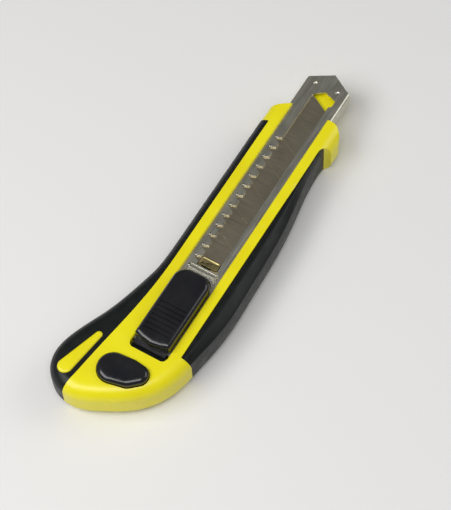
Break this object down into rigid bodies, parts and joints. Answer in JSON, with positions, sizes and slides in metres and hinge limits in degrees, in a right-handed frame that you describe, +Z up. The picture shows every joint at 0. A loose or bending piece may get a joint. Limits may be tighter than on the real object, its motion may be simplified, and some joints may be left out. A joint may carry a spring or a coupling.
{
  "type": "snap off knife",
  "caption": "Self-loading snap-off utility knife with a horned two-colour handle, slotted steel sleeve, locking thumb slider and underside magazine.",
  "frame": {"origin": "centre of the footprint, on the flat underside that the knife lies on", "axes": "+X along the knife towards the blade's nose, +Y to the cutting-edge side with the horn, +Z up out of the slider's face"},
  "size_m": [0.177, 0.0522, 0.0221],
  "materials": {
    "yellow_plastic": "satin moulded",
    "black_grip": "matt soft-touch",
    "black_plastic": "satin moulded",
    "black_gloss": "glossy",
    "grey_plastic": "satin moulded",
    "sleeve_steel": "satin rolled",
    "blade_steel": "fine ground",
    "brass": "dull",
    "spring_steel": "bright"
  },
  "bodies": {
    "handle": {"upper_shell": "yellow_plastic", "lower_shell": "yellow_plastic", "left_grip": "black_grip", "right_grip": "black_grip", "horn_inlay": "yellow_plastic", "blade_sleeve": "sleeve_steel", "blade_bed": "yellow_plastic", "bed_rivets": "spring_steel", "shell_screws": "spring_steel", "recess_bumper": "black_grip", "spare_blade_1": "blade_steel", "spare_blade_2": "blade_steel", "door_pin": "spring_steel", "latch_spring": "spring_steel", "button_spring": "spring_steel"},
    "slider": {"slider_carriage": "black_plastic", "lock_spring": "spring_steel", "slider_apron": "grey_plastic", "drive_hook": "brass", "active_blade": "blade_steel"},
    "cap": {"thumb_cap": "black_gloss"},
    "button": {"release_button": "black_gloss"},
    "latch": {"door_latch": "black_plastic"},
    "door": {"magazine_door": "yellow_plastic", "follower_spring": "spring_steel"},
    "follower": {"follower_plate": "black_plastic"}
  },
  "joints": [
    {"name": "slider_slide", "type": "slide", "parent": "handle", "child": "slider", "axis": [1, 0, 0], "range_m": [-0.0016, 0.0792], "deforming": ["lock_spring"]},
    {"name": "cap_release", "type": "slide", "parent": "slider", "child": "cap", "axis": [1, 0, 0], "range_m": [-0.0008, 0.0008], "stiffness_N_per_m": 1500},
    {"name": "button_press", "type": "slide", "parent": "handle", "child": "button", "axis": [0, 0, -1], "range_m": [0, 0.0018], "stiffness_N_per_m": 1500, "springref_m": -0.0008, "deforming": ["button_spring"]},
    {"name": "latch_slide", "type": "slide", "parent": "handle", "child": "latch", "axis": [-1, 0, 0], "range_m": [0, 0.0018], "stiffness_N_per_m": 300, "springref_m": -0.0008, "deforming": ["latch_spring"]},
    {"name": "door_hinge", "type": "hinge", "parent": "handle", "child": "door", "pos_m": [0.0498, -0.00615, 0.0018], "axis": [0, -1, 0], "range_deg": [0, 80]},
    {"name": "follower_press", "type": "slide", "parent": "door", "child": "follower", "axis": [0, 0, -1], "range_m": [0, 0.0015], "stiffness_N_per_m": 250, "springref_m": -0.004, "deforming": ["follower_spring"]}
  ],
  "couplings": [
    {"joint": "latch_slide", "follows": "button_press", "ratio": 1}
  ]
}
